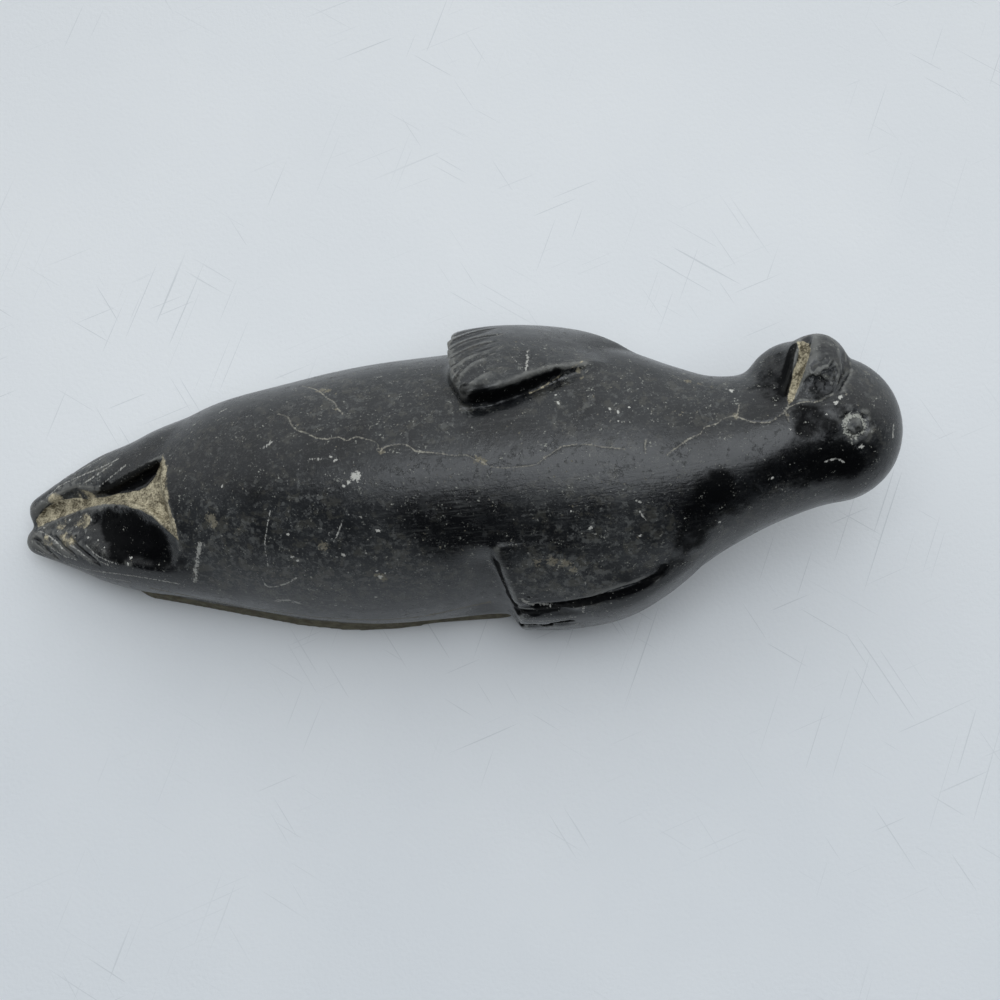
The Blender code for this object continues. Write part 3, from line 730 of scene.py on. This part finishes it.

# %% [markdown]
# ## Painted shade
#
# In a few places shade and dark reflections are painted into the stone as near-black
# colour with no shine: the dish of the near hind flipper, the hollow under the far one's lip,
# the channel beside the far flipper, the side of the neck and the cheek, and parts of the dark
# band below the back's sheen. Circles give the broad patches of painted shade, lines the
# painted shadows beside the cuts, and an outline the painted shadow in the sharp hollow.

# %% Painted shade as an attribute
PAINTED_SHADE_PATCHES = [
    (112, 526, 16, 1.0), (132, 534, 22, 1.0), (152, 542, 18, 1.0), (120, 550, 14, 0.8), (160, 556, 12, 0.8),
    (108, 490, 9, 1.0), (812, 418, 13, 0.7), (826, 428, 13, 0.7), (822, 390, 12, 0.6),
    (480, 396, 11, 1.0), (494, 396, 10, 1.0), (508, 392, 10, 1.0), (522, 387, 9, 1.0), (534, 382, 8, 1.0),
    (546, 377, 6, 1.0), (556, 372, 5, 1.0), (464, 388, 7, 0.7), (456, 378, 5, 0.6),
    (716, 488, 18, 0.8), (700, 508, 16, 0.7), (690, 540, 18, 0.7), (760, 478, 16, 0.6), (830, 462, 14, 0.6),
    (660, 572, 10, 0.6), (770, 378, 17, 0.55), (780, 395, 13, 0.6), (758, 390, 12, 0.4), (776, 362, 13, 0.45),
    (800, 455, 18, 0.7), (822, 464, 20, 0.8), (848, 464, 18, 0.8), (868, 456, 14, 0.5), (778, 470, 14, 0.7),
    (802, 478, 14, 0.6), (858, 430, 4, 0.6), (806, 430, 12, 0.7), (835, 444, 12, 0.7), (840, 412, 8, 0.5),
    (800, 412, 9, 0.6), (818, 442, 12, 0.6), (796, 440, 9, 0.4),
    (732, 505, 16, 0.5), (700, 525, 18, 0.6), (680, 555, 14, 0.5), (740, 490, 14, 0.5), (880, 470, 14, 0.4),
    (650, 530, 16, 0.3), (600, 510, 14, 0.3), (470, 535, 16, 0.3), (440, 525, 14, 0.3),
]
PAINTED_SHADOW_LINES = [
    ([(538, 607), (560, 606), (580, 603), (600, 598), (622, 592), (640, 586), (655, 577), (664, 567)], 0.9),
    ([(514, 624), (530, 625), (550, 624), (572, 621)], 0.65),
    ([(516, 611), (532, 613), (556, 610)], 1.1),
    ([(793, 347), (789, 360), (786, 376), (783, 392)], 1.1),
    ([(496, 562), (503, 580), (511, 598), (517, 610)], 1.0),
]
FAR_HOLLOW = [
    (97, 494), (104, 487), (118, 480), (132, 471), (146, 464), (157, 460), (160, 466), (154, 475),
    (146, 484), (134, 489), (118, 492),
]
LINE_GAIN = 1.6
FLOOR_GUARD_PIXELS = 4
HOLLOW_EDGE_PIXELS = 5

shadow_lines = ease(lines_on(places, PAINTED_SHADOW_LINES) * LINE_GAIN)
off_the_floors = ease(0.5 - floors / FLOOR_GUARD_PIXELS)
far_hollow_shade = ease(depth_inside(places, normals, FAR_HOLLOW) / HOLLOW_EDGE_PIXELS + 0.6)
shade_patches_and_lines = np.maximum(patches(places, PAINTED_SHADE_PATCHES), shadow_lines) * off_the_floors
# The black attribute is painted shade: shadows and dark reflections laid on as near-black colour.
add_number("black", np.maximum(shade_patches_and_lines, far_hollow_shade))
print("black:", len(PAINTED_SHADE_PATCHES), "patches and", len(PAINTED_SHADOW_LINES), "lines")

# %% [markdown]
# ## The eye
#
# The eye is a shallow ring on top of the head. Its groove is in the solid, and its rim has
# been rubbed white, a little more on the side of the snout. It could be drawn as a closed
# line, but a band at one distance from the eye's middle is simpler and gives the same ring.

# %% The eye's ring as an attribute
EYE = (855, 426)
EYE_RING_PIXELS = 10.0
EYE_BAND_PIXELS = 5
RUBBED_SIDE = np.array((-0.7, 0.7, 0.0))
RING_STRENGTH = 0.85
EXTRA_RUB = 0.15

from_eye = gap_to_spot(places, *EYE)
rubbed = (places - np.array(seen_at(*EYE))) @ RUBBED_SIDE / np.maximum(from_eye, TINY)
band = ease(1 - np.abs(from_eye / PIXEL - EYE_RING_PIXELS) / EYE_BAND_PIXELS)
add_number("eye_ring", band * (RING_STRENGTH + EXTRA_RUB * rubbed))
print("eye: ring of", round(EYE_RING_PIXELS * PIXEL / MM, 1), "mm radius")

# %% [markdown]
# ## Worn edges
#
# Hands wear the edges first. Cycles can find edges with a Bevel node or with Geometry's
# Pointiness, but Pointiness depends on how fine the mesh is, and this mesh is fine in some
# places and coarse in others. So it is worked out here: a vertex that lies above the middle
# of its neighbours is on an edge, and dividing by the square of the mesh size turns that
# height into a curvature.

# %% Curvature of the skin
edges = np.empty(len(skin.data.edges) * 2, np.int64)
skin.data.edges.foreach_get("vertices", edges)
edges = edges.reshape(-1, 2)
both = np.concatenate([edges, edges[:, ::-1]])
neighbours = np.bincount(both[:, 0], minlength=len(places)).astype(float)
REACH_PASSES = 6
BLUR_PASSES = 3
CURVATURE_GAIN = 4
CLEARLY_BENT = 0.2


def spread(numbers):
    """The average of each vertex's neighbours."""
    if numbers.ndim == 1:
        return np.bincount(both[:, 0], numbers[both[:, 1]], len(numbers)) / neighbours
    return np.stack([spread(column) for column in numbers.T], axis=1)


lengths = np.linalg.norm(places[both[:, 0]] - places[both[:, 1]], axis=1) / MM
spacing = np.bincount(both[:, 0], lengths, len(places)) / neighbours
smoothed = places
for _ in range(REACH_PASSES):
    smoothed = spread(smoothed)
bend = ((places - smoothed) * normals).sum(1) / MM / (REACH_PASSES * spacing**2) * CURVATURE_GAIN
for _ in range(BLUR_PASSES):
    bend = spread(bend)
add_number("edge", np.clip(bend, 0, None))
print("edges:", round(float(np.mean(bend > CLEARLY_BENT)) * 100, 1), "% of the vertices are on one")

# %% [markdown]
# ## Writing a finish as sums
#
# A finish is a network of nodes, and most of them are plain arithmetic. They could be
# placed by hand in the Shader Editor, but so many of them are hard to read there. The class
# below wraps one output of a node, so that a sum in Python adds the Math nodes that do it.
# The reflected forms, such as the one behind 1 - mask, serve a number on the left.

# %% A node's output that can be used in sums
class Wire:
    """One output of a node in a finish."""

    def __init__(self, finish, socket):
        self.finish = finish
        self.socket = socket

    def maths(self, operation, *values):
        """Adds one Math node."""
        return self.finish.node("ShaderNodeMath", {"operation": operation}, values)

    def __add__(self, other):
        return self.maths("ADD", self, other)

    __radd__ = __add__

    def __mul__(self, other):
        return self.maths("MULTIPLY", self, other)

    __rmul__ = __mul__

    def __sub__(self, other):
        return self.maths("SUBTRACT", self, other)

    def __rsub__(self, other):
        return self.maths("SUBTRACT", other, self)

    def __abs__(self):
        return self.maths("ABSOLUTE", self)

    def larger(self, other):
        """The larger of two numbers."""
        return self.maths("MAXIMUM", self, other)

    def step(self, low, high):
        """0 below low, 1 above high and soft between. If high is the smaller, it is turned round."""
        if low > high:
            return 1 - self.step(high, low)
        settings = {"interpolation_type": "SMOOTHSTEP"}
        inputs = {"Value": self, "From Min": low, "From Max": high}
        return self.finish.node("ShaderNodeMapRange", settings, inputs)


print("Wire has", len([name for name in vars(Wire) if name.startswith("__r")]), "reflected forms")

# %% [markdown]
# The second class holds a material's or the world's nodes. One method adds any kind of node,
# given its type, its settings and what its sockets get. The others are short names for the
# kinds that are used often: an attribute, a mix of two colours, a noise, and a noise that is
# drawn out into streaks.

# %% A tree of nodes
class Finish:
    """The nodes of a material or of the world, added by one method."""

    def __init__(self, owner):
        owner.use_nodes = True
        self.owner = owner
        self.nodes = owner.node_tree.nodes
        self.links = owner.node_tree.links

    def feed(self, node, inputs):
        """Gives a node's inputs their links and values."""
        named = inputs.items() if isinstance(inputs, dict) else enumerate(inputs)
        for name, value in named:
            if isinstance(value, Wire):
                self.links.new(value.socket, node.inputs[name])
            else:
                node.inputs[name].default_value = value

    def node(self, kind, settings, inputs, output=0):
        """Adds a node, and gives one of its outputs."""
        made = self.nodes.new(kind)
        for name, value in settings.items():
            setattr(made, name, value)
        self.feed(made, inputs)
        return Wire(self, made.outputs[output])

    def number(self, name):
        """An attribute of the skin."""
        return self.node("ShaderNodeAttribute", {"attribute_name": name}, {}, "Fac")

    def blend(self, share, first, second):
        """A mix of two colours."""
        return self.node("ShaderNodeMix", {"data_type": "RGBA"}, {0: share, 6: first, 7: second}, 2)

    def noise(self, where, scale, detail=3.0, roughness=0.5):
        """Noise about 0.5, with so many waves to the metre."""
        inputs = {"Vector": where, "Scale": scale, "Detail": detail, "Roughness": roughness}
        return self.node("ShaderNodeTexNoise", {}, inputs)

    def streaks(self, where, waves, turned, detail=3.0):
        """Noise with waves of three lengths in mm, drawn out along a direction turned about Z."""
        metres = tuple(length * MM for length in waves)
        inputs = {"Vector": where, "Scale": metres, "Rotation": (0.0, 0.0, turned)}
        drawn_out = self.node("ShaderNodeMapping", {"vector_type": "TEXTURE"}, inputs)
        return self.noise(drawn_out, 1.0, detail, 0.6)


print("Finish can add", [name for name in vars(Finish) if not name.startswith("_")])

# %% [markdown]
# ## The stone finish
#
# Soapstone is a soft rock that turns black when it is polished. The finish is built from
# the bottom up: black stone with a cloudy grain, a grey bloom where the polish has gone,
# sanding marks, flakes and pale specks, light edges, veins, chalky knocks, the dust that
# fills the cuts, the olive-brown foot, and painted shade in the deep places. Some of the pale
# rims and scratches are painted highlights, and the pale line above the foot is a painted
# reflection. Each layer is a colour and a mask that says how much of it shows.
#
# Four noises of different sizes serve most of the masks: clouds of 20 mm, wandering forms
# of 4 mm, grains of 2 mm and fine crumbs of half a millimetre. One noise with more detail
# would be cheaper, but then every layer would break up in the same places.

# %% Black stone
BLACK = (0.0022, 0.0026, 0.0032, 1)
CHARCOAL = (0.0125, 0.0138, 0.0155, 1)

stone = Finish(bpy.data.materials.new("black_soapstone"))
where = stone.node("ShaderNodeTexCoord", {}, {}, "Object")
cloud = stone.noise(where, 48, 6.0, 0.6)
grain = stone.noise(where, 420, 4.0, 0.6)
fine = stone.noise(where, 1700, 3.0, 0.6)
wander = stone.noise(where, 230, 4.0, 0.65)
worn = stone.number("worn")
# black is the painted shade, and the wear marks below are kept out of it.
black = stone.number("black")
outside_painted_shade = 1 - black * 0.9

ground = stone.blend((cloud + worn * 0.20).step(0.38, 0.78), BLACK, CHARCOAL)
print("black stone:", len(stone.nodes), "nodes")

# %% [markdown]
# ## Bloom, sanding marks and flakes
#
# A grey bloom lies over the polish in clouds, like breath on glass. Sanding has left marks,
# long ones along the body and fainter ones across, which are noise drawn out to about ten
# times its width. A Wave texture would give them too, but evenly spaced. Where the stone is
# worn it breaks up into scales, flakes, salt and crinkled hairlines. A hairline is where a
# noise passes through its middle value, so it needs no drawing.

# %% Bloom, sanding marks and flakes
BLOOM = (0.058, 0.062, 0.065, 1)
GREY = (0.115, 0.118, 0.112, 1)
SCALE_GREY = (0.105, 0.100, 0.080, 1)
EDGE_GREY = (0.20, 0.20, 0.185, 1)
TAN = (0.30, 0.265, 0.185, 1)
PALE = (0.60, 0.59, 0.54, 1)

bloom = (stone.noise(where, 36, 6.0, 0.72) + worn * 0.24).step(0.46, 0.90) * outside_painted_shade
combed = stone.number("combed")
long_marks = stone.streaks(where, (9.0, 0.67, 0.67), 0.06)
cross_marks = stone.streaks(where, (6.5, 0.75, 0.75), 1.25)
marks = (long_marks + combed * 0.05).step(0.54, 0.68) * wander.step(0.36, 0.60) * outside_painted_shade
salt = fine.step(0.50, 0.74) * (0.10 + worn * 0.38) * outside_painted_shade
flakes = (stone.noise(where, 520, 5.0, 0.62) + worn * 0.10).step(0.60, 0.70) * outside_painted_shade
specks = (stone.noise(where, 900, 2.0, 0.5) + worn * 0.025).step(0.705, 0.76) * outside_painted_shade
contour = abs(stone.noise(where, 240, 6.0, 0.72) - 0.5)
hairs = contour.step(0.013, 0.005) * (stone.noise(where, 95, 3.0, 0.5) + worn * 0.10).step(0.52, 0.62)
scales = (stone.noise(where, 300, 4.0, 0.68) + worn * 0.085).step(0.585, 0.625) * outside_painted_shade
edge = (stone.number("edge") * (0.4 + grain * 1.2)).step(0.16, 0.50)

ground = stone.blend(bloom * 0.30, ground, BLOOM)
ground = stone.blend(salt, ground, GREY)
ground = stone.blend(marks * 0.22, ground, GREY)
ground = stone.blend(scales * (0.10 + worn * 0.30), ground, SCALE_GREY)
ground = stone.blend(flakes * (0.18 + worn * 0.50), ground, GREY)
ground = stone.blend(hairs * (0.08 + worn * 0.22), ground, GREY)
ground = stone.blend(specks * 0.42, ground, stone.blend(cloud.step(0.42, 0.58), TAN, PALE))
ground = stone.blend(edge * 0.55, ground, EDGE_GREY)
print("worn stone:", len(stone.nodes), "nodes")

# %% [markdown]
# ## Veins, knocks and dust
#
# These layers read the attributes. Used as they are, the soft numbers would look sprayed on.
# So noise is added before the number is cut with a step, and the edge of the mark wanders
# and small crumbs break away from it. Where a second step follows, it keeps the noise from
# making marks of its own far from any line.

# %% Veins, knocks and dust
CREAM = (0.47, 0.44, 0.36, 1)
RIM_AND_HIGHLIGHT_GREY = (0.20, 0.195, 0.175, 1)
RING_WHITE = (0.48, 0.48, 0.42, 1)
DUST_DARK = (0.070, 0.056, 0.030, 1)
DUST_PALE = (0.62, 0.55, 0.385, 1)

ragged = (wander - 0.5) * 0.9 + (grain - 0.5) * 0.5
crumbs = (fine - 0.5) * 1.3 + (grain - 0.5) * 0.8
vein = (stone.number("vein") + crumbs).step(0.50, 0.95) * (0.45 + wander.step(0.40, 0.62) * 0.55)
feather = (stone.streaks(where, (3.8, 0.5, 0.5), 1.45) - 0.5) * 2.0
# The rim layer is rubbed rims and painted highlights on edges.
rim = (stone.number("rim") + ragged * 1.3).step(0.44, 0.80)
# The scratch layer also carries the painted highlight beside the eye and the one under the near flipper.
scratch = (stone.number("scratch") + crumbs * 0.8 + feather).step(0.58, 0.92)
scratch = scratch * stone.number("scratch").step(0.05, 0.30)
chalk = (stone.number("chalk") + crumbs * 1.1).step(0.52, 0.72) * stone.number("chalk").step(0.05, 0.30)
# tan also carries the painted reflection along the belly's lower edge.
tan = (stone.number("tan") + crumbs * 1.3).step(0.50, 0.80) * stone.number("tan").step(0.0, 0.20)
ring = (stone.number("eye_ring") + crumbs * 2.2 + ragged * 0.5).step(0.45, 0.95)
dust = (stone.number("dust") + (wander - 0.5) * 0.8 + (grain - 0.5) * 0.5).step(0.38, 0.62)
dust_tone = (wander * 0.5 + grain * 0.5 + fine * 0.7).step(0.66, 1.06)

ground = stone.blend(rim * 0.55, ground, RIM_AND_HIGHLIGHT_GREY)
ground = stone.blend(tan * 0.50, ground, TAN)
ground = stone.blend(vein * 0.62, ground, CREAM)
ground = stone.blend(ring * 0.72, ground, RING_WHITE)
ground = stone.blend(chalk * 0.85, ground, PALE)
ground = stone.blend(scratch * 0.62, ground, PALE)
ground = stone.blend(dust, ground, stone.blend(dust_tone, DUST_DARK, DUST_PALE))
print("marked stone:", len(stone.nodes), "nodes")

# %% [markdown]
# ## The olive-brown foot
#
# The seal stands on a low block of its own stone, and everything below about 6 mm above the
# table is coloured olive brown. It could be a second material on its own faces, but then its
# border would follow the triangles. The height above the table tells it from the belly
# instead, with noise in the border. Just above it a thin pale grey band is painted, as a
# painted reflection of the pale table along the belly's lower edge.

# %% The olive-brown foot under the belly
BROWN = (0.085, 0.072, 0.038, 1)
OLIVE = (0.150, 0.134, 0.080, 1)
TABLE_REFLECTION_GREY = (0.19, 0.185, 0.155, 1)

height = stone.node("ShaderNodeSeparateXYZ", {}, [where], "Z") * (1 / MM)
# A painted reflection of the table along the belly's lower edge.
pale_reflection_band = (height + (wander - 0.5) * 3.0).step(9.5, 7.2) * grain.step(0.30, 0.55)
olive_foot = (height + (wander - 0.5) * 2.6).step(6.8, 5.9)
ground = stone.blend(pale_reflection_band * 0.40, ground, TABLE_REFLECTION_GREY)
ground = stone.blend(olive_foot, ground, stone.blend(grain.step(0.35, 0.65), BROWN, OLIVE))
print("stone and foot:", len(stone.nodes), "nodes")

# %% [markdown]
# ## Polish and relief
#
# Polished soapstone is smooth and every mark on it is duller, so the masks that coloured the
# stone also raise its roughness. Through a Bump node the same masks look sunk or raised by
# a few hundredths of a millimetre, and the dust by more. The node's distance is one
# millimetre, so the numbers below are millimetres. Displacing the mesh itself would need
# triangles as small as the grains.

# %% Polish and relief
dull = (flakes * 0.5).larger(vein * 0.7).larger(tan * 0.8).larger(scratch).larger(rim * 0.5)
dull = dull.larger(specks * 0.6).larger(dust).larger(olive_foot).larger(chalk).larger(ring * 0.8)
dull = dull.larger(bloom * 0.35).larger(salt * 0.5)
roughness = 0.24 + cloud.step(0.3, 0.8) * 0.06 + marks * 0.10 + dull * 0.5
relief = (grain - 0.5) * 0.06 + (fine - 0.5) * (0.020 + worn * 0.030) - flakes * 0.035 - specks * 0.04
relief = relief + (wander - 0.5) * 0.10 + (long_marks - 0.5) * (0.018 + combed * 0.050)
relief = relief + (cross_marks - 0.5) * 0.014 - hairs * 0.02 - scratch * 0.05 - vein * 0.04 - marks * 0.01
relief = relief + dust * (grain - 0.3) * 0.35 + olive_foot * (grain - 0.5) * 0.30 + ring * (fine - 0.5) * 0.10
bump = stone.node("ShaderNodeBump", {}, {"Strength": 1.0, "Distance": MM, "Height": relief}, "Normal")

polished = stone.nodes["Principled BSDF"]
stone.feed(polished, {"Base Color": ground, "Roughness": roughness, "Normal": bump})
print("polished stone:", len(stone.nodes), "nodes")

# %% [markdown]
# ## Painted shade in the deep places
#
# Near-black paint in the hollows would still shine, because polish reflects about as much
# light from black stone as from grey. So the painted shade gets a shader of its own with
# almost no reflection, and a Mix Shader lays it over the polish. Scratches, chalk and the
# eye's ring lie on top of the painted shade and keep it off.

# %% Painted shade in the deep places
# Painted shade: near-black, dull and with almost no reflection.
PAINTED_SHADE_FINISH = {"Base Color": (0.0012, 0.0014, 0.0018, 1), "Roughness": 0.7, "Specular IOR Level": 0.04}
shade_bsdf = stone.node("ShaderNodeBsdfPrincipled", {}, PAINTED_SHADE_FINISH, "BSDF")
shade_share = (black + (wander - 0.5) * 0.9 + (grain - 0.5) * 0.6).step(0.25, 0.80) * black.step(0.0, 0.15)
shade_share = shade_share * (1 - scratch) * (1 - chalk) * (1 - ring)
polish = Wire(stone, polished.outputs["BSDF"])
both_finishes = stone.node("ShaderNodeMixShader", {}, {0: shade_share * 0.90, 1: polish, 2: shade_bsdf})
stone.feed(stone.nodes["Material Output"], {"Surface": both_finishes})
skin.data.materials.clear()
skin.data.materials.append(stone.owner)
print("finish:", len(stone.nodes), "nodes")

# %% [markdown]
# ## The skin takes the solid's place
#
# The fine skin is shown instead of the solid and goes wherever the solid goes. The solid
# stays in the model, because it is what the weight and the collisions are worked out from.

# %% Tie the skin to the model
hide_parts("seal")
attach(skin, "root")
print(skin.name, "stands for", solid.name)

# %% [markdown]
# ## Table
#
# The seal lies on a pale sheet with a fine tooth and a few hairline scratches. The sheet's
# colour is painted darker towards the camera's side, as painted shade, with broad mottling
# over it. The scratches are streaks of noise at four angles, cut high so that only the tops
# show, and a broad noise gathers them into a few places. They could be drawn like the seal's
# own marks, but nothing depends on where they are.

# %% Table
TABLE_HALF = 1.6
ends = (-TABLE_HALF, TABLE_HALF)
table_mesh = bpy.data.meshes.new("table")
table_mesh.from_pydata([(x, y, 0) for x in ends for y in ends], [], [(0, 2, 3, 1)])
table = bpy.data.objects.new("table", table_mesh)
bpy.context.scene.collection.objects.link(table)

SHEET_DIM = (0.735, 0.762, 0.785, 1)
SHEET_BRIGHT = (0.850, 0.865, 0.872, 1)
SHEET_SCRATCH = (0.50, 0.53, 0.55, 1)

sheet = Finish(bpy.data.materials.new("pale_table"))
on_table = sheet.node("ShaderNodeTexCoord", {}, {}, "Object")
along_y = sheet.node("ShaderNodeSeparateXYZ", {}, [on_table], "Y")
# Painted shade: the sheet grows darker towards the camera's side (negative Y).
mottle_and_painted_shade = sheet.noise(on_table, 9, 4.0, 0.6).step(0.3, 0.7) * 0.3 + along_y.step(-0.16, 0.14) * 0.7
hair = sheet.streaks(on_table, (60, 0.8, 60), 1.15, 1.0).step(0.71, 0.74)
for turned in (-0.62, 0.33, 2.05):
    hair = hair.larger(sheet.streaks(on_table, (45, 0.8, 45), turned, 1.0).step(0.72, 0.75))
gathered = sheet.noise(on_table, 12, 2.0).step(0.42, 0.60)
table_colour = sheet.blend(mottle_and_painted_shade, SHEET_DIM, SHEET_BRIGHT)
table_colour = sheet.blend(hair * gathered * 0.45, table_colour, SHEET_SCRATCH)
tooth = sheet.noise(on_table, 800, 3.0, 0.6) * 0.10
rough = sheet.node("ShaderNodeBump", {}, {"Strength": 1.0, "Distance": MM, "Height": tooth}, "Normal")
sheet.feed(sheet.nodes["Principled BSDF"], {"Base Color": table_colour, "Roughness": 0.55, "Normal": rough})
table_mesh.materials.append(sheet.owner)
print("table:", 2 * TABLE_HALF, "m wide")

# %% [markdown]
# ## Light
#
# Polished black stone shows what stands round it more than its own colour. The blue-grey
# sheen along the back is the reflection of one broad soft panel overhead. The dark band
# below the sheen is the dim side of the room, on the side that the camera leans to, deepened
# in places by painted shade. The far flank is paler because it faces the bright side, and
# painted reflection in the worn patches lightens it further. A second lamp could fill the
# dark side, but then the band would be lost.

# %% Light
PANEL_PLACE = Vector((0.06, -0.08, 1.10))
PANEL_WIDTH = 0.75
PANEL_WATTS = 5.0
PANEL_COLOUR = (0.90, 0.95, 1.0)
DIM_ROOM = (0.030, 0.031, 0.036, 1)
BRIGHT_ROOM = (1.08, 1.12, 1.15, 1)

panel = bpy.data.lights.new("overhead_light", "AREA")
panel.size = PANEL_WIDTH
panel.energy = PANEL_WATTS
panel.color = PANEL_COLOUR
lamp = bpy.data.objects.new("overhead_light", panel)
bpy.context.scene.collection.objects.link(lamp)
lamp.location = PANEL_PLACE
lamp.rotation_euler = (-PANEL_PLACE).to_track_quat("-Z", "Y").to_euler()

room = Finish(bpy.data.worlds.new("room"))
bpy.context.scene.world = room.owner
direction = room.node("ShaderNodeTexCoord", {}, {}, "Generated")
sideways = room.node("ShaderNodeSeparateXYZ", {}, [direction], "Y")
lengthways = room.node("ShaderNodeSeparateXYZ", {}, [direction], "X")
bright_side = sideways.step(-0.28, 0.42) * (0.90 + lengthways * 0.15)
room_colour = room.blend(bright_side, DIM_ROOM, BRIGHT_ROOM)
room.feed(room.nodes["Background"], {"Color": room_colour, "Strength": 1.0})

bpy.context.scene.view_settings.view_transform = "Standard"
print("light: one panel of", panel.energy, "W and a room that is bright on one side")

# %% [markdown]
